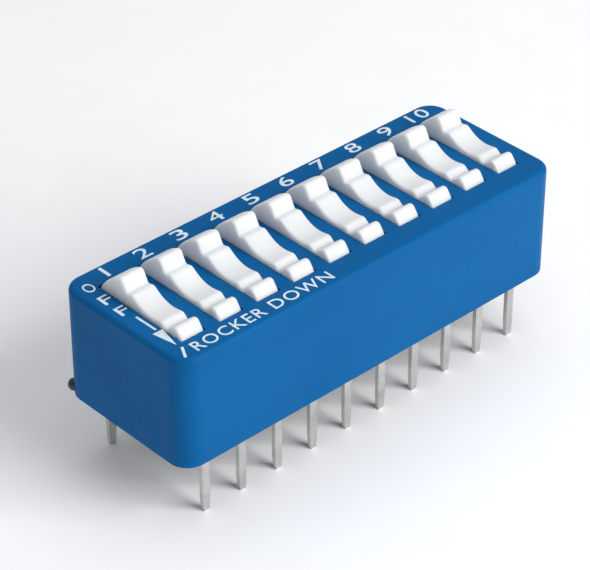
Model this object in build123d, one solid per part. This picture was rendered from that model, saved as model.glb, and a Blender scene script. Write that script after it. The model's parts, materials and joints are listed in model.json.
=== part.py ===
from build123d import *
import math
import os

# A ten-position rocker DIP switch, in millimetres.
# X runs along the row from position 1 to position 10, Y runs to the back row of legs, Z is up.
# The origin is the middle of the seating plane, where the cover's rim meets the circuit board.

# The standard grid the part is made to.
POSITIONS = 10
PITCH = 2.54
ROW_SPACING = 7.62

# The cover, which is all of the outside.
BODY_W = 9.7
BODY_H = 6.8
END_MARGIN = 2.12
CORNER_R = 1.2
TOP_EDGE_R = 0.3
SIDE_WALL = 0.6
END_WALL = 0.65
BODY_L = (POSITIONS - 1) * PITCH + 2 * END_MARGIN
CAVITY_L = BODY_L - 2 * END_WALL
CAVITY_W = BODY_W - 2 * SIDE_WALL
CAVITY_R = CORNER_R - SIDE_WALL

# The rockers, drawn upright about their own pivot and then tipped by TILT.
TILT = 12.0
ROCKER_W = 1.5
SLOT_CLEAR = 0.05
SLOT_W = ROCKER_W + 2 * SLOT_CLEAR
PIVOT_DEPTH = 2.0
PIVOT_Z = BODY_H - PIVOT_DEPTH
SWEEP_R = 3.75
SWEEP_CLEAR = 0.1
ARM_REST = 0.52
STEM_Y = 0.85
STEM_DEPTH = 2.0
EDGE_SOFT = 0.12

# The rocker's crown from the middle valley out to one end: the other end is its mirror image.
VALLEY_Z = 2.16
INNER_CREST = (1.15, 2.62)
DIP = (1.56, 2.42)
CREST_Y = 2.1
CREST = (CREST_Y, math.sqrt(SWEEP_R ** 2 - CREST_Y ** 2))
VALLEY_SOFT = 2.0
INNER_CREST_SOFT = 0.3
DIP_SOFT = 0.1
CREST_SOFT = 0.28
FOOT_SOFT = 0.15
SOFT_EDGES_ABOVE = 1.3

# The trunnions turn in grooves of the cover and are kept in by the base's ribs.
TRUNNION_R = 0.45
TRUNNION_CLEAR = 0.03
TRUNNION_END_CLEAR = 0.05
WEB_CORE = 0.24
WEB = PITCH - SLOT_W
TRUNNION_REACH = (WEB - WEB_CORE) / 2 - TRUNNION_END_CLEAR + SLOT_CLEAR
CAVITY_TOP = PIVOT_Z - TRUNNION_R - TRUNNION_CLEAR

# The contact ball, its bore in the stem and its spring.
BALL_R = 0.5
BALL_DROP = 1.9
BALL_CLEAR = 0.05
BORE_R = BALL_R + BALL_CLEAR
BORE_TOP = 1.1
WIRE_R = 0.065
SPRING_CLEAR = 0.07
SPRING_R = BORE_R - SPRING_CLEAR - WIRE_R
SPRING_TURNS = 7

# The two contact rails that the ball runs on, on either side of the middle line of each position.
METAL = 0.25
RAIL_GAP = 0.24
RAIL_OUT = 0.55
TOUCH = 0.004
BALL_REST_Z = PIVOT_Z - BALL_DROP * math.cos(math.radians(TILT))
RAIL_TOP = BALL_REST_Z - math.sqrt(BALL_R ** 2 - (RAIL_GAP / 2) ** 2) - TOUCH
PLATE_TOP = RAIL_TOP - METAL
BACK_TONGUE_END = -0.75
FRONT_TONGUE_END = 0.08
INSULATOR_Y = (0.1, 1.2)
HEAD_Y = 2.0

# The legs below the body.
LEG_W = 0.5
LEG_LENGTH = 4.1
TIP_LENGTH = 1.0
TIP_W = 0.36
BEND_R = 0.2

# The moulded base and the sealing resin under it.
BASE_CLEAR = 0.04
RIB_CLEAR = 0.02
LEG_CLEAR = 0.03
SEAL_BOTTOM = 0.12
SEAL_TOP = 0.45
STOP_GAP = 0.02
STOP_CLEAR = 0.03
STOP_Y = 0.7
STOP_MARGIN = 0.05
STOP_INNER_X = 0.33

# The bead of resin that has crept out through a notch in the rim at the back left corner.
NOTCH_W = 0.5
NOTCH_H = 0.55
BEAD_R = 0.36
BEAD_Z = 0.37
NOTCH_INWARD = 1.6
NOTCH_OUTWARD = 1.0
NECK_OUTWARD = 0.05

# How far a cut runs past the face that it opens, and how far one moulded part is rooted in another.
OVERCUT = 1.0
ROOT = 0.2


def centres():
    """The X of each position's middle line, from position 1."""
    first = -(POSITIONS - 1) * PITCH / 2
    return [first + PITCH * i for i in range(POSITIONS)]


def block(x0, x1, y0, y1, z0, z1):
    """A plain box between two opposite corners."""
    middle = Pos((x0 + x1) / 2, (y0 + y1) / 2, (z0 + z1) / 2)
    return middle * Box(x1 - x0, y1 - y0, z1 - z0)


def slab(length, width, radius, z0, z1):
    """A flat plate with rounded upright corners, centred on the Z axis."""
    outline = RectangleRounded(length, width, radius)
    return extrude(Pos(0, 0, z0) * outline, z1 - z0)


def cross_bar(radius, length, x, z):
    """A round bar lying along X."""
    return Pos(x, 0, z) * Rot(0, 90, 0) * Cylinder(radius, length)


def corner_direction():
    """The unit vector that points out of the back left corner."""
    return Vector(-math.sqrt(0.5), math.sqrt(0.5), 0)


def corner_point():
    """The middle of the back left corner's rounded outside, on the seating plane."""
    middle = Vector(-BODY_L / 2 + CORNER_R, BODY_W / 2 - CORNER_R, 0)
    return middle + corner_direction() * CORNER_R


def notch_bar(z0, z1, outward):
    """A square bar that passes through the back left corner of the rim."""
    reach = NOTCH_INWARD + outward
    middle = corner_point() + corner_direction() * (outward - reach / 2)
    place = Pos(middle.X, middle.Y, (z0 + z1) / 2) * Rot(0, 0, 135)
    return place * Box(reach, NOTCH_W, z1 - z0)


def rocker_pocket(x):
    """The opening that one rocker swings in: its ends are arcs about the pivot."""
    sweep = cross_bar(SWEEP_R + SWEEP_CLEAR, SLOT_W, x, PIVOT_Z)
    above = block(x - SLOT_W, x + SLOT_W, -BODY_W, BODY_W, CAVITY_TOP, BODY_H + OVERCUT)
    return sweep & above


def trunnion_groove(x):
    """A groove across one pocket, open downwards, for the rocker's two trunnions."""
    radius = TRUNNION_R + TRUNNION_CLEAR
    half = ROCKER_W / 2 + TRUNNION_REACH + TRUNNION_END_CLEAR
    groove = cross_bar(radius, 2 * half, x, PIVOT_Z)
    return groove + block(x - half, x + half, -radius, radius, CAVITY_TOP - ROOT, PIVOT_Z)


def make_cover():
    body = slab(BODY_L, BODY_W, CORNER_R, 0, BODY_H)
    top = body.faces().sort_by(Axis.Z)[-1]
    body = fillet(top.edges(), TOP_EDGE_R)
    body -= slab(CAVITY_L, CAVITY_W, CAVITY_R, -OVERCUT, CAVITY_TOP)
    for x in centres():
        body -= rocker_pocket(x)
        body -= trunnion_groove(x)
    body -= notch_bar(-OVERCUT, NOTCH_H, NOTCH_OUTWARD)
    return body


def base_rib(x0, x1):
    """A wall between two positions, as high as the underside of the cover's web."""
    reach = CAVITY_W / 2 - BASE_CLEAR
    return block(x0, x1, -reach, reach, PLATE_TOP - ROOT, CAVITY_TOP)


def stop_post(x):
    """The post beside one position's front terminal that the pressed arm comes down on."""
    outer = x - SLOT_W / 2 + STOP_CLEAR
    inner = x - STOP_INNER_X
    y0 = STOP_MARGIN - SWEEP_R
    y1 = y0 + STOP_Y
    top = PIVOT_Z + ARM_REST - STOP_GAP
    foot = block(x - PITCH / 2, inner, y0, y1, PLATE_TOP - ROOT, CAVITY_TOP)
    return foot + block(outer, inner, y0, y1, PLATE_TOP - ROOT, top)


def insulator(x):
    """The moulded rail that the ball leaves the front terminal for, in the off position."""
    return block(x + RAIL_GAP / 2, x + RAIL_OUT, *INSULATOR_Y, PLATE_TOP - ROOT, RAIL_TOP)


def leg_slot(x, y):
    """The hole in the base that one leg goes down through."""
    half_w = LEG_W / 2 + LEG_CLEAR
    half_t = METAL / 2 + LEG_CLEAR
    return block(x - half_w, x + half_w, y - half_t, y + half_t, -OVERCUT, PLATE_TOP + OVERCUT)


def make_base():
    length = CAVITY_L - 2 * BASE_CLEAR
    width = CAVITY_W - 2 * BASE_CLEAR
    body = slab(length, width, CAVITY_R - BASE_CLEAR, SEAL_TOP, PLATE_TOP)
    rib_half = WEB / 2 - RIB_CLEAR
    edges = [x - PITCH / 2 for x in centres()[1:]]
    for x in edges:
        body += base_rib(x - rib_half, x + rib_half)
    inner = centres()[-1] + PITCH / 2 - rib_half
    for side in (-1, 1):
        near, far = sorted((side * inner, side * length / 2))
        body += base_rib(near, far) & slab(length, width, CAVITY_R - BASE_CLEAR, 0, BODY_H)
    for x in centres():
        body += stop_post(x)
        body += Rot(0, 0, 180) * stop_post(-x)
        body += insulator(x)
    for x in centres():
        body -= leg_slot(x, ROW_SPACING / 2)
        body -= leg_slot(x, -ROW_SPACING / 2)
    return body


def make_terminal(tongue_end):
    """A back terminal on the Z axis: contact tongue, bend and leg cut from one strip."""
    outer = (ROW_SPACING + METAL) / 2
    knee = outer - METAL - BEND_R
    side = make_face(
        Polyline(
            (HEAD_Y, RAIL_TOP),
            (HEAD_Y, PLATE_TOP),
            (outer - METAL, PLATE_TOP),
            (outer - METAL, -LEG_LENGTH),
            (outer, -LEG_LENGTH),
            (outer, RAIL_TOP),
            (HEAD_Y, RAIL_TOP),
        )
    )
    corner = side.vertices().sort_by_distance((outer, RAIL_TOP, 0))[0]
    side = fillet(corner, BEND_R)
    strip = extrude(Plane.YZ.offset(-LEG_W / 2) * side, LEG_W)
    tip = make_face(
        Polyline(
            (-LEG_W / 2, RAIL_TOP),
            (-LEG_W / 2, TIP_LENGTH - LEG_LENGTH),
            (-TIP_W / 2, -LEG_LENGTH),
            (TIP_W / 2, -LEG_LENGTH),
            (LEG_W / 2, TIP_LENGTH - LEG_LENGTH),
            (LEG_W / 2, RAIL_TOP),
            (-LEG_W / 2, RAIL_TOP),
        )
    )
    strip &= extrude(Plane.XZ * tip, BODY_W, both=True)
    head = block(-RAIL_OUT, LEG_W / 2, HEAD_Y, knee, PLATE_TOP, RAIL_TOP)
    tongue = block(-RAIL_OUT, -RAIL_GAP / 2, tongue_end, knee, PLATE_TOP, RAIL_TOP)
    return strip + head + tongue


def make_seal():
    """The resin under the base, with the bead that has crept out at one corner."""
    body = slab(CAVITY_L, CAVITY_W, CAVITY_R, SEAL_BOTTOM, SEAL_TOP)
    outside = slab(BODY_L, BODY_W, CORNER_R, -OVERCUT, BODY_H)
    cavity = slab(CAVITY_L, CAVITY_W, CAVITY_R, -OVERCUT, BODY_H)
    body += notch_bar(SEAL_BOTTOM, NOTCH_H, NECK_OUTWARD) & (outside - cavity)
    middle = corner_point()
    body += Pos(middle.X, middle.Y, BEAD_Z) * Sphere(BEAD_R) - outside
    for x in centres():
        for y in (-ROW_SPACING / 2, ROW_SPACING / 2):
            sides = (x - LEG_W / 2, x + LEG_W / 2, y - METAL / 2, y + METAL / 2)
            body -= block(*sides, -OVERCUT, SEAL_TOP + OVERCUT)
    return body


def crown():
    """The outline of a rocker seen from its end, about its own pivot."""
    slope = math.tan(math.radians(TILT))
    under = ARM_REST / math.cos(math.radians(TILT))
    end_y = SWEEP_R
    for step in range(20):
        end_y = math.sqrt(SWEEP_R ** 2 - (under + slope * end_y) ** 2)
    end = (end_y, under + slope * end_y)
    turn = (math.atan2(end[1], end[0]) + math.atan2(CREST[1], CREST[0])) / 2
    belly = (SWEEP_R * math.cos(turn), SWEEP_R * math.sin(turn))
    armpit = (STEM_Y, under + slope * STEM_Y)
    lines = [
        Line((0, VALLEY_Z), INNER_CREST),
        Line(INNER_CREST, DIP),
        Line(DIP, CREST),
        ThreePointArc(CREST, belly, end),
        Line(end, armpit),
        Line(armpit, (STEM_Y, -STEM_DEPTH)),
        Line((STEM_Y, -STEM_DEPTH), (0, -STEM_DEPTH)),
        Line((0, -STEM_DEPTH), (0, VALLEY_Z)),
    ]
    half = make_face(Curve() + lines)
    return half + mirror(half, Plane.YZ)


def soften(face, point, radius):
    """Round the outline's corner at a point and at its mirror image."""
    for y in {point[0], -point[0]}:
        corner = face.vertices().sort_by_distance((y, point[1], 0))[0]
        face = fillet(corner, radius)
    return face


def make_rocker():
    """A rocker about its own pivot, upright."""
    outline = crown()
    outline = soften(outline, (0, VALLEY_Z), VALLEY_SOFT)
    outline = soften(outline, INNER_CREST, INNER_CREST_SOFT)
    outline = soften(outline, DIP, DIP_SOFT)
    outline = soften(outline, CREST, CREST_SOFT)
    outline = soften(outline, (STEM_Y, -STEM_DEPTH), FOOT_SOFT)
    body = extrude(Plane.YZ.offset(-ROCKER_W / 2) * outline, ROCKER_W)
    sides = body.faces().filter_by(Plane.YZ)
    rim = [e for e in sides.edges() if e.center().Z > SOFT_EDGES_ABOVE]
    body = fillet(rim, EDGE_SOFT)
    body += cross_bar(TRUNNION_R, ROCKER_W + 2 * TRUNNION_REACH, 0, 0)
    bore_bottom = -STEM_DEPTH - OVERCUT
    bore = Pos(0, 0, (BORE_TOP + bore_bottom) / 2) * Cylinder(BORE_R, BORE_TOP - bore_bottom)
    return body - bore


def make_spring():
    """The coil spring in a rocker's bore, with both ends ground flat."""
    inner = SPRING_R - WIRE_R
    low = -BALL_DROP + math.sqrt(BALL_R ** 2 - inner ** 2) + TOUCH
    high = BORE_TOP
    rise = high - low
    path = Pos(0, 0, low) * Helix(rise / SPRING_TURNS, rise, SPRING_R)
    wire = Plane(origin=path @ 0, z_dir=path % 0) * Circle(WIRE_R)
    coil = sweep(wire, path=path, is_frenet=True)
    return coil & block(-1, 1, -1, 1, low, high)


def place(shape, x):
    """Tip an upright piece into the off position and set it on its pivot."""
    return Pos(x, 0, PIVOT_Z) * Rot(TILT, 0, 0) * shape


def save(shape, node):
    export_step(shape, "parts/" + node + ".step")


def main():
    os.makedirs("parts", exist_ok=True)
    save(make_cover(), "cover")
    save(make_base(), "base")
    save(make_seal(), "seal")
    back = make_terminal(BACK_TONGUE_END)
    front = Rot(0, 0, 180) * make_terminal(FRONT_TONGUE_END)
    rocker = make_rocker()
    spring = make_spring()
    ball = Pos(0, 0, -BALL_DROP) * Sphere(BALL_R)
    for i, x in enumerate(centres()):
        number = "_%02d" % (i + 1)
        save(Pos(x, 0, 0) * back, "terminal_back" + number)
        save(Pos(x, 0, 0) * front, "terminal_front" + number)
        save(place(rocker, x), "rocker" + number)
        save(place(spring, x), "spring" + number)
        save(place(ball, x), "ball" + number)


main()
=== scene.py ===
# %% [markdown]
# # A ten-position rocker DIP switch
# The hard parts of this switch come as a imported frame: the blue cover, the white rockers, the
# legs and what is sealed inside. This lesson gives each of them its finish, adds the printed
# legends, the resin that creeps down each leg and merged copies of the springs, and then sets up
# the light and the camera.
# Everything is in metres, in the frame's own axes: X runs along the row, Y to the back row of
# legs and Z up.

# %% Load the frame
import json
import math
import bpy
import bmesh
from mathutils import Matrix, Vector


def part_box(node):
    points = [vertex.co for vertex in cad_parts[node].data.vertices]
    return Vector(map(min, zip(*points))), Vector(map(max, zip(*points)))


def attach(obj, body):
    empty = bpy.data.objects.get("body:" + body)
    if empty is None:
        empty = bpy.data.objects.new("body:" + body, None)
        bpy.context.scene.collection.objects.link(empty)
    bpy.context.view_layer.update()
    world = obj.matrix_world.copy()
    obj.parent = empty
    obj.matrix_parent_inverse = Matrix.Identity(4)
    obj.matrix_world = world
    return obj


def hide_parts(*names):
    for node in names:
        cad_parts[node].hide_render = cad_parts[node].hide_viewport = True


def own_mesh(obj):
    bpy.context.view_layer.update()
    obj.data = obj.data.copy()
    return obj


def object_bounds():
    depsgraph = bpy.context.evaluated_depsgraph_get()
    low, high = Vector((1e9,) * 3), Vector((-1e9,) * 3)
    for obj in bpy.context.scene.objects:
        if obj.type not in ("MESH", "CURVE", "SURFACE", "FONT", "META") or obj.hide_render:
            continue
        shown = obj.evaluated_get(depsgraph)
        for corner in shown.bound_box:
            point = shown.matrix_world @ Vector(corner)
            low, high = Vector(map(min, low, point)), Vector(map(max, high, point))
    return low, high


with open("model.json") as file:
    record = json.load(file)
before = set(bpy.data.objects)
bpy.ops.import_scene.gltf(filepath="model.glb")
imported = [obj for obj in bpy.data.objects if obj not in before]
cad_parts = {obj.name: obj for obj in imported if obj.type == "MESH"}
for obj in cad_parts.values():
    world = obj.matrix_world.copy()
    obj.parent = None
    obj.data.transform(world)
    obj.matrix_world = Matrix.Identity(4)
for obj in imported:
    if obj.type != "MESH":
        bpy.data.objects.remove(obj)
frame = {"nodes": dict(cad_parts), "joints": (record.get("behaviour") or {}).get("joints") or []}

cad_box = [list(corner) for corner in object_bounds()]
MM = 0.001
print("frame nodes:", len(frame["nodes"]), "box in mm:", [[round(v / MM, 2) for v in c] for c in cad_box])

# %% [markdown]
# The positions of everything printed follow from the cover and the rockers, so their boxes are
# read once. The middle of each rocker's box along X is the middle line of its position.

# %% Measure what the print has to line up with
TOP_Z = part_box("cover")[1][2]
rocker_names = sorted(name for name in frame["nodes"] if name.startswith("rocker_"))
middles = []
for name in rocker_names:
    low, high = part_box(name)
    middles.append((low[0] + high[0]) / 2)
print("positions:", len(middles), "pitch in mm:", round((middles[1] - middles[0]) / MM, 3))


# %% [markdown]
# ## Finishes
# A moulded or plated surface is never one flat colour. Each finish here is a small node tree on
# Object coordinates: slow noise moves the colour a little, fine noise moves the roughness and
# lifts a shallow grain, and a Bevel node rounds the light on edges that are sharp in the mesh.
# The coordinates are in metres, so a grain of a tenth of a millimetre is a scale of ten thousand.

# %% A helper that starts a finish
def start_finish(name):
    """A new material with its principled shader and an Object coordinate to hang patterns on."""
    finish = bpy.data.materials.new(name)
    finish.use_nodes = True
    tree = finish.node_tree
    shader = tree.nodes["Principled BSDF"]
    place = tree.nodes.new("ShaderNodeTexCoord").outputs["Object"]
    return finish, tree, shader, place


# %% Helpers for noise, colour and grain
NOISE_LOW, NOISE_HIGH = 0.3, 0.7
EDGE_SAMPLES = 6


def noise(tree, place, per_metre, detail=3.0, stretch=(1, 1, 1)):
    """Noise with that many cells in a metre. A stretch under 1 draws it out along that axis."""
    scale = tree.nodes.new("ShaderNodeMapping")
    scale.inputs["Scale"].default_value = stretch
    tree.links.new(place, scale.inputs["Vector"])
    pattern = tree.nodes.new("ShaderNodeTexNoise")
    pattern.inputs["Scale"].default_value = per_metre
    pattern.inputs["Detail"].default_value = detail
    tree.links.new(scale.outputs["Vector"], pattern.inputs["Vector"])
    return pattern.outputs["Fac"]


def spread(tree, value, low, high):
    """Turns a noise value from its usual span into a range of our own."""
    fit = tree.nodes.new("ShaderNodeMapRange")
    fit.inputs["From Min"].default_value = NOISE_LOW
    fit.inputs["From Max"].default_value = NOISE_HIGH
    fit.inputs["To Min"].default_value = low
    fit.inputs["To Max"].default_value = high
    tree.links.new(value, fit.inputs["Value"])
    return fit.outputs["Result"]


def two_tone(tree, value, dark, light):
    """A colour that goes from dark to light with a noise value."""
    ramp = tree.nodes.new("ShaderNodeValToRGB")
    ramp.color_ramp.elements[0].position = NOISE_LOW
    ramp.color_ramp.elements[0].color = (*dark, 1)
    ramp.color_ramp.elements[1].position = NOISE_HIGH
    ramp.color_ramp.elements[1].color = (*light, 1)
    tree.links.new(value, ramp.inputs["Fac"])
    return ramp.outputs["Color"]


def grain(tree, shader, value, height, edge):
    """Lifts the surface by a noise value times height, over edges rounded to a radius."""
    soft = tree.nodes.new("ShaderNodeBevel")
    soft.samples = EDGE_SAMPLES
    soft.inputs["Radius"].default_value = edge
    lift = tree.nodes.new("ShaderNodeBump")
    lift.inputs["Strength"].default_value = 1.0
    lift.inputs["Distance"].default_value = height
    tree.links.new(soft.outputs["Normal"], lift.inputs["Normal"])
    tree.links.new(value, lift.inputs["Height"])
    tree.links.new(lift.outputs["Normal"], shader.inputs["Normal"])


# %% [markdown]
# The cover is a satin thermoplastic in a deep blue, moulded in a spark-eroded tool, so it has a
# very fine even grain and soft, wide highlights. Its colour drifts slightly where the melt
# flowed. The slow noise is stretched along X, the way the long mould filled.

# %% Blue cover plastic
blue_cover, tree, shader, place = start_finish("blue_cover_plastic")
flow = noise(tree, place, 180, 4.0, (0.4, 1.0, 1.0))
blues = two_tone(tree, flow, (0.0004, 0.094, 0.284), (0.0008, 0.113, 0.320))
tree.links.new(blues, shader.inputs["Base Color"])
tree.links.new(spread(tree, noise(tree, place, 2600), 0.40, 0.52), shader.inputs["Roughness"])
grain(tree, shader, noise(tree, place, 14000, 2.0), 0.000004, 0.00004)
shader.inputs["IOR"].default_value = 1.5
shader.inputs["Specular IOR Level"].default_value = 0.07
print("made", blue_cover.name)

# %% [markdown]
# The rockers are a cool white plastic that lets a little light in, so their shaded sides glow
# instead of going grey. A subsurface radius near a millimetre does that. Fingers polish the crests, so the
# roughness wanders more than on the cover.

# %% White rocker plastic
white_rocker, tree, shader, place = start_finish("white_rocker_plastic")
cloud = noise(tree, place, 420, 3.0)
whites = two_tone(tree, cloud, (0.725, 0.738, 0.742), (0.780, 0.788, 0.790))
tree.links.new(whites, shader.inputs["Base Color"])
tree.links.new(spread(tree, noise(tree, place, 3000), 0.30, 0.44), shader.inputs["Roughness"])
grain(tree, shader, noise(tree, place, 9000, 2.0), 0.000003, 0.00008)
shader.inputs["Subsurface Weight"].default_value = 0.65
shader.inputs["Subsurface Radius"].default_value = (0.0012, 0.0011, 0.0010)
shader.inputs["Subsurface Scale"].default_value = 1.0
shader.inputs["IOR"].default_value = 1.49
print("made", white_rocker.name)

# %% [markdown]
# The legs are stamped from strip and then tin plated. Tin is a soft grey-white metal with a dull
# sheen, and the die leaves faint streaks down each leg. Noise drawn out along Z makes them.

# %% Tin plating
tin, tree, shader, place = start_finish("dull_tin_plating")
streaks = noise(tree, place, 9000, 3.0, (1.0, 1.0, 0.06))
patches = noise(tree, place, 900, 4.0)
greys = two_tone(tree, patches, (0.50, 0.50, 0.485), (0.66, 0.66, 0.645))
tree.links.new(greys, shader.inputs["Base Color"])
tree.links.new(spread(tree, streaks, 0.30, 0.50), shader.inputs["Roughness"])
grain(tree, shader, streaks, 0.000004, 0.00003)
shader.inputs["Metallic"].default_value = 1.0
print("made", tin.name)

# %% [markdown]
# The underside is closed with a black casting resin. It sets glossy, with slow waves where it
# levelled and a sheen that is duller in patches.

# %% Sealing resin
resin, tree, shader, place = start_finish("black_sealing_resin")
waves = noise(tree, place, 500, 2.0)
blacks = two_tone(tree, waves, (0.008, 0.008, 0.009), (0.018, 0.018, 0.019))
tree.links.new(blacks, shader.inputs["Base Color"])
tree.links.new(spread(tree, noise(tree, place, 4000), 0.18, 0.34), shader.inputs["Roughness"])
grain(tree, shader, waves, 0.00004, 0.00004)
shader.inputs["Coat Weight"].default_value = 0.3
print("made", resin.name)

# %% [markdown]
# Inside, the base is a plain black moulding, the springs are drawn steel wire and the balls are
# gold plated. They can hardly be seen, but whoever opens the switch finds them finished too.

# %% Base plastic, spring wire and gold plate
black_base, tree, shader, place = start_finish("black_base_plastic")
blacks = two_tone(tree, noise(tree, place, 600), (0.016, 0.016, 0.018), (0.026, 0.026, 0.028))
tree.links.new(blacks, shader.inputs["Base Color"])
tree.links.new(spread(tree, noise(tree, place, 5000), 0.45, 0.6), shader.inputs["Roughness"])
grain(tree, shader, noise(tree, place, 12000, 2.0), 0.000004, 0.00003)

spring_wire, tree, shader, place = start_finish("drawn_spring_wire")
drawn = noise(tree, place, 16000, 3.0)
tree.links.new(two_tone(tree, drawn, (0.48, 0.48, 0.49), (0.62, 0.62, 0.63)), shader.inputs["Base Color"])
tree.links.new(spread(tree, drawn, 0.22, 0.36), shader.inputs["Roughness"])
shader.inputs["Metallic"].default_value = 1.0

gold_plate, tree, shader, place = start_finish("gold_ball_plate")
golds = two_tone(tree, noise(tree, place, 3000), (0.78, 0.55, 0.22), (0.88, 0.66, 0.31))
tree.links.new(golds, shader.inputs["Base Color"])
tree.links.new(spread(tree, noise(tree, place, 7000), 0.12, 0.24), shader.inputs["Roughness"])
shader.inputs["Metallic"].default_value = 1.0
print("made", black_base.name, spring_wire.name, gold_plate.name)

# %% [markdown]
# The legends are pad printed in a white ink. The film is thin, so the blue shows through it a
# little and unevenly, which is why the ink's colour wanders towards pale blue.

# %% Printing ink
white_ink, tree, shader, place = start_finish("white_legend_ink")
cover_up = noise(tree, place, 5200, 4.0)
tree.links.new(two_tone(tree, cover_up, (0.50, 0.66, 0.74), (0.80, 0.86, 0.88)), shader.inputs["Base Color"])
tree.links.new(spread(tree, noise(tree, place, 9000), 0.42, 0.58), shader.inputs["Roughness"])
print("made", white_ink.name)

# %% [markdown]
# Each node of the frame already has a material slot. Its finish is chosen by the start of the
# node's name, and the mesh itself stays as it came.

# %% Dress the frame
finishes = {
    "cover": blue_cover, "rocker": white_rocker, "terminal": tin, "seal": resin,
    "base": black_base, "spring": spring_wire, "ball": gold_plate,
}
for name, node in frame["nodes"].items():
    finish = finishes[name.split("_")[0]]
    if not node.material_slots:
        node.data.materials.append(finish)
    for slot in node.material_slots:
        slot.material = finish
print("dressed", len(frame["nodes"]), "nodes")


# %% [markdown]
# ## Spring copies
# Each spring pushes its ball down from the top of the rocker's bore. When the ball is pressed up,
# a stiff spring would be run through, so the coil has to shorten. The frame's own meshes stay as
# they are: every spring gets a merged copy that stands for it and rides on the rocker, while the
# spring node itself is hidden.

# %% Read the balls' travel
press_joints = {joint["name"]: joint for joint in frame["joints"] if joint["name"].startswith("ball_press_")}
print("ball joints:", len(press_joints), "range in metres:", press_joints["ball_press_01"]["range_m"])

# %% A helper that copies one spring
MERGE_GAP = 0.0001 * MM


def make_spring(number):
    """A coil that stands for one spring node, merged and hung on its rocker."""
    node = frame["nodes"]["spring_" + number]
    piece = bpy.data.objects.new("coil_" + number, node.data.copy())
    bpy.context.scene.collection.objects.link(piece)
    mesh = bmesh.new()
    mesh.from_mesh(piece.data)
    bmesh.ops.remove_doubles(mesh, verts=mesh.verts, dist=MERGE_GAP)
    mesh.to_mesh(piece.data)
    mesh.free()
    piece.data.materials.clear()
    piece.data.materials.append(spring_wire)
    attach(piece, "rocker_" + number)
    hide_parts("spring_" + number)
    return piece


# %% Ten coils, one for each ball joint
for name, joint in sorted(press_joints.items()):
    number = name[-2:]
    coil = make_spring(number)
    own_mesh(coil)

# %% [markdown]
# ## Printed legends
# The print is white lettering of one weight, a little wider than it is tall. Blender's own font
# has that plain look. Each word is typed as a text object, turned into a mesh, and only then
# fitted to its place, so the finished piece sits at the origin like every other. The film is
# rooted a little in the cover and stands a hundredth of a millimetre proud of it.

# %% A helper that empties the selection
INK_LOW = TOP_Z - 0.002 * MM
INK_HIGH = TOP_Z + 0.010 * MM


def pick_nothing():
    """Operators act on whatever is selected, so every new piece starts from an empty selection."""
    bpy.ops.object.select_all(action="DESELECT")


# %% A helper that prints a word into a rectangle of the top face
LETTER_SPACING = 1.12
LETTER_WEIGHT = 0.004
LETTER_CURVE_STEPS = 4


def mesh_box(piece):
    """The lowest and highest corner of a mesh, in its own coordinates."""
    corners = [vertex.co for vertex in piece.data.vertices]
    low = Vector([min(c[axis] for c in corners) for axis in range(3)])
    high = Vector([max(c[axis] for c in corners) for axis in range(3)])
    return low, high


def print_word(name, words, left, right, bottom, top):
    """Ink letters that fill a rectangle, given in metres on the cover's top face."""
    pick_nothing()
    bpy.ops.object.text_add(location=(0, 0, 0))
    piece = bpy.context.object
    piece.name = name
    piece.data.body = words
    piece.data.extrude = 0.5
    piece.data.resolution_u = LETTER_CURVE_STEPS
    piece.data.space_character = LETTER_SPACING
    piece.data.offset = LETTER_WEIGHT
    bpy.ops.object.convert(target="MESH")
    low, high = mesh_box(piece)
    size = high - low
    piece.scale = ((right - left) / size.x, (top - bottom) / size.y, (INK_HIGH - INK_LOW) / size.z)
    piece.location = (
        left - low.x * piece.scale.x,
        bottom - low.y * piece.scale.y,
        INK_LOW - low.z * piece.scale.z,
    )
    bpy.ops.object.transform_apply(location=True, rotation=True, scale=True)
    piece.data.materials.clear()
    piece.data.materials.append(white_ink)
    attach(piece, "housing")
    return piece


# %% [markdown]
# The numerals stand behind the rockers, a little to the right of each middle line. A one is
# narrower than the rest and a ten is two figures wide, so each gets its own width.

# %% Numerals along the back edge
NUMERAL_LOW, NUMERAL_HIGH = 3.62 * MM, 4.52 * MM
NUMERAL_SHIFT = 0.28 * MM
NUMERAL_WIDTH, ONE_WIDTH, TEN_WIDTH = 0.84 * MM, 0.20 * MM, 1.42 * MM
numerals = []
for index, middle in enumerate(middles):
    figure = str(index + 1)
    width = {"1": ONE_WIDTH, "10": TEN_WIDTH}.get(figure, NUMERAL_WIDTH)
    left = middle + NUMERAL_SHIFT - width / 2
    name = "legend_number_%02d" % (index + 1)
    numerals.append(print_word(name, figure, left, left + width, NUMERAL_LOW, NUMERAL_HIGH))
print("numerals:", [piece.name for piece in numerals])

# %% [markdown]
# Along the left edge the word OFF is stacked one letter above the next, and along the front
# edge the rule of use is spelled out: the end that is down is the one that counts.

# %% The stacked word and the line along the front
OFF_LEFT, OFF_RIGHT = -12.98 * MM, -12.36 * MM
LETTER = 0.80 * MM
OFF_MIDDLES = (3.48 * MM, 2.10 * MM, 0.80 * MM)
RULE_LOW, RULE_HIGH = -4.42 * MM, -3.64 * MM
for number, (letter, middle) in enumerate(zip("OFF", OFF_MIDDLES)):
    low = middle - LETTER / 2
    print_word("legend_off_%d" % (number + 1), letter, OFF_LEFT, OFF_RIGHT, low, low + LETTER)
print_word("legend_rocker", "ROCKER", -12.12 * MM, -7.42 * MM, RULE_LOW, RULE_HIGH)
print_word("legend_down", "DOWN", -6.88 * MM, -2.75 * MM, RULE_LOW, RULE_HIGH)
print("printed OFF, ROCKER and DOWN")


# %% [markdown]
# An arrow under the word OFF points at the end of the rocker that goes down, and a short
# slanted stroke joins it to the words in front. Both are flat shapes: a plane is added, its
# edges are moved or drawn together, and the film is extruded upwards.

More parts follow.
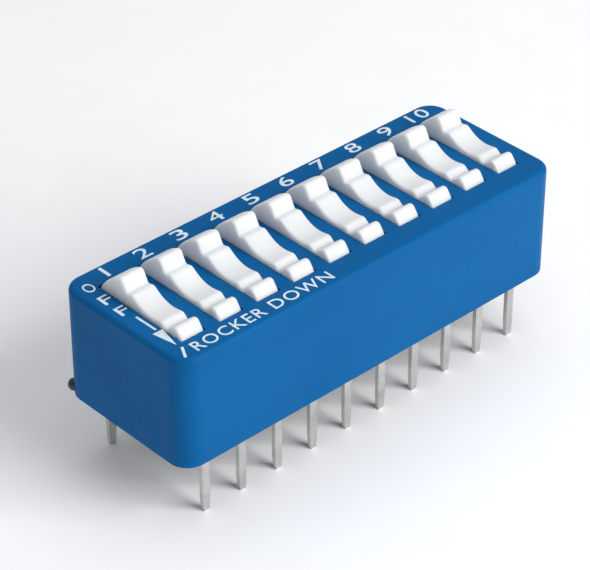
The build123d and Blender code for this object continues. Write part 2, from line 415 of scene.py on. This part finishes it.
# %% A helper that gives a flat shape the thickness of the ink
def finish_ink(piece, name):
    """Extrudes a flat face on the ink's underside up to its top, and hands it over."""
    piece.name = name
    bpy.ops.object.mode_set(mode="EDIT")
    bpy.ops.mesh.select_all(action="SELECT")
    bpy.ops.mesh.extrude_region_move(TRANSFORM_OT_translate={"value": (0, 0, INK_HIGH - INK_LOW)})
    bpy.ops.mesh.select_all(action="SELECT")
    bpy.ops.mesh.normals_make_consistent(inside=False)
    bpy.ops.object.mode_set(mode="OBJECT")
    bpy.ops.object.transform_apply(location=True, rotation=True, scale=True)
    piece.data.materials.append(white_ink)
    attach(piece, "housing")
    return piece


# %% A helper that lays a strip of ink between two points
def ink_strip(name, start, end, width, end_width):
    """A strip on the top face from start to end, which may narrow on the way."""
    run = Vector(end) - Vector(start)
    middle = (Vector(start) + Vector(end)) / 2
    pick_nothing()
    bpy.ops.mesh.primitive_plane_add(size=1, location=(middle.x, middle.y, INK_LOW))
    piece = bpy.context.object
    piece.scale = (width, run.length, 1)
    piece.rotation_euler = (0, 0, math.atan2(run.y, run.x) - math.pi / 2)
    bpy.ops.object.transform_apply(location=True, rotation=True, scale=True)
    along = run.normalized()
    bpy.ops.object.mode_set(mode="EDIT")
    bpy.ops.mesh.select_all(action="DESELECT")
    mesh = bmesh.from_edit_mesh(piece.data)
    for vertex in mesh.verts:
        vertex.select = (vertex.co.xy - middle).dot(along) > 0
    mesh.select_flush(True)
    bmesh.update_edit_mesh(piece.data)
    across = end_width / width
    bpy.ops.transform.resize(value=(across, across, 1), center_override=(end[0], end[1], INK_LOW))
    bpy.ops.object.mode_set(mode="OBJECT")
    return finish_ink(piece, name)


# %% Arrow and stroke
shaft_top, shaft_end = (-12.52 * MM, -0.10 * MM), (-12.50 * MM, -1.62 * MM)
head_base, head_tip = (-12.54 * MM, -1.80 * MM), (-12.57 * MM, -3.26 * MM)
stroke_top, stroke_end = (-12.50 * MM, -3.62 * MM), (-12.92 * MM, -4.38 * MM)
SHAFT_WIDTH, STROKE_WIDTH = 0.13 * MM, 0.15 * MM
HEAD_WIDTH, TIP_WIDTH = 0.64 * MM, 0.03 * MM
ink_strip("legend_arrow_shaft", shaft_top, shaft_end, SHAFT_WIDTH, SHAFT_WIDTH)
ink_strip("legend_arrow_head", head_base, head_tip, HEAD_WIDTH, TIP_WIDTH)
ink_strip("legend_stroke", stroke_top, stroke_end, STROKE_WIDTH, STROKE_WIDTH)
print("arrow and stroke printed")

# %% [markdown]
# ## Resin round the legs
# The casting resin wets each leg while it is liquid and sets in a low collar that thins out down
# the metal. It starts as a cube that straddles the leg just inside the resin. Its underside is
# then extruded down and drawn in, a lot at first and less each time, which gives the hollow curve
# that a liquid leaves. Each step is a drop and the spread left at its end. One collar is made,
# and every other leg gets a copy.

# %% Sizes of a resin collar
RESIN_FACE = 0.12 * MM
LEG_WIDTH, LEG_METAL = 0.50 * MM, 0.25 * MM
COLLAR_SPREAD = 0.26 * MM
COLLAR_ROOT = 0.06 * MM
COLLAR_STEPS = ((0.010, 0.15), (0.020, 0.085), (0.025, 0.04), (0.030, 0.012))
CORNER_ROUND, CORNER_SEGMENTS = 0.03 * MM, 2
SMOOTH_UNDER = math.radians(50)
leg_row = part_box("terminal_back_01")[1][1] - LEG_METAL / 2
print("leg rows at Y", round(leg_row / MM, 2), "mm either side")


# %% A helper that makes the first collar
def make_collar(name, x, y):
    """A closed, hollow-sided collar of resin round the leg at x, y."""
    pick_nothing()
    bpy.ops.mesh.primitive_cube_add(size=1, location=(x, y, RESIN_FACE + COLLAR_ROOT / 2))
    piece = bpy.context.object
    piece.name = name
    piece.scale = (LEG_WIDTH + 2 * COLLAR_SPREAD, LEG_METAL + 2 * COLLAR_SPREAD, COLLAR_ROOT)
    bpy.ops.object.transform_apply(location=True, rotation=True, scale=True)
    bpy.ops.object.mode_set(mode="EDIT")
    bpy.ops.mesh.select_all(action="DESELECT")
    mesh = bmesh.from_edit_mesh(piece.data)
    mesh.faces.ensure_lookup_table()
    for face in mesh.faces:
        face.select = face.normal.z < -0.9
    bmesh.update_edit_mesh(piece.data)
    spread_now = COLLAR_SPREAD
    for drop, spread_next in COLLAR_STEPS:
        before = (LEG_WIDTH + 2 * spread_now, LEG_METAL + 2 * spread_now)
        spread_now = spread_next * MM
        after = (LEG_WIDTH + 2 * spread_now, LEG_METAL + 2 * spread_now)
        bpy.ops.mesh.extrude_region_move(TRANSFORM_OT_translate={"value": (0, 0, -drop * MM)})
        shrink = (after[0] / before[0], after[1] / before[1], 1)
        bpy.ops.transform.resize(value=shrink, center_override=(x, y, 0))
    bpy.ops.object.mode_set(mode="OBJECT")
    soften = piece.modifiers.new("soft_corners", "BEVEL")
    soften.width = CORNER_ROUND
    soften.segments = CORNER_SEGMENTS
    soften.limit_method = "ANGLE"
    bpy.ops.object.modifier_apply(modifier=soften.name)
    bpy.ops.object.shade_smooth_by_angle(angle=SMOOTH_UNDER)
    piece.data.materials.append(resin)
    return piece


# %% A collar on every leg
first = make_collar("resin_collar_back_01", middles[0], leg_row)
collars = 0
for side, y in (("back", leg_row), ("front", -leg_row)):
    for index, middle in enumerate(middles):
        name = "resin_collar_%s_%02d" % (side, index + 1)
        piece = first
        if name != first.name:
            piece = bpy.data.objects.new(name, first.data.copy())
            bpy.context.scene.collection.objects.link(piece)
            for vertex in piece.data.vertices:
                vertex.co.x += middle - middles[0]
                vertex.co.y += y - leg_row
        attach(piece, "housing")
        collars += 1
print("resin collars:", collars, "lowest point in mm:", round(mesh_box(first)[0].z / MM, 3))

# %% [markdown]
# ## Floor, light and camera
# The switch stands on the tips of its legs on a pale sheet. A large soft lamp in front and to
# the right lights the long side, a broad one overhead fills the top, and a pale room does the rest.

# %% A pale floor
floor_z = cad_box[0][2]
pick_nothing()
bpy.ops.mesh.primitive_plane_add(size=4.0, location=(0, 0, floor_z))
floor = bpy.context.object
floor.name = "studio_floor"
sheet, tree, shader, place = start_finish("pale_floor_sheet")
pales = two_tone(tree, noise(tree, place, 300), (0.955, 0.955, 0.955), (0.975, 0.975, 0.975))
tree.links.new(pales, shader.inputs["Base Color"])
shader.inputs["Roughness"].default_value = 0.9
floor.data.materials.append(sheet)
print("floor at", round(floor_z / MM, 2), "mm")


# %% A helper that hangs a soft lamp
def soft_lamp(name, place, size, watts, aim=(0, 0, 0.003)):
    """A square area lamp that faces the switch."""
    lamp = bpy.data.lights.new(name, "AREA")
    lamp.energy = watts
    lamp.size = size
    holder = bpy.data.objects.new(name, lamp)
    bpy.context.scene.collection.objects.link(holder)
    holder.location = place
    holder.rotation_euler = (Vector(aim) - Vector(place)).to_track_quat("-Z", "Y").to_euler()
    return holder


# %% Lamps and room
soft_lamp("front_lamp", (0.07, -0.20, 0.15), 0.16, 0.60)
soft_lamp("top_lamp", (0.05, 0.05, 0.26), 0.22, 0.13)
room = bpy.data.worlds.new("pale_room")
bpy.context.scene.world = room
room.use_nodes = True
room.node_tree.nodes["Background"].inputs["Color"].default_value = (0.95, 0.97, 1.0, 1)
room.node_tree.nodes["Background"].inputs["Strength"].default_value = 0.46
print("lamps and room ready")

# %% [markdown]
# The camera stands in front and to the left, looking down at about 35 degrees through a long
# lens, so the long edges stay nearly parallel.

# %% Camera
eye = bpy.data.cameras.new("studio_camera")
eye.sensor_width = 36
eye.lens = 157.6
eye.shift_x = -0.0235
eye.shift_y = -0.0073
eye.clip_start = 0.005
camera = bpy.data.objects.new("studio_camera", eye)
bpy.context.scene.collection.objects.link(camera)
camera.location = (-0.07846, -0.08320, 0.08270)
camera.rotation_euler = (math.radians(55.14), math.radians(-0.10), math.radians(-43.07))
bpy.context.scene.camera = camera
bpy.context.scene.view_settings.view_transform = "Standard"
print("camera at", [round(v / MM, 1) for v in camera.location], "mm")

# %% Finish
bpy.context.view_layer.update()
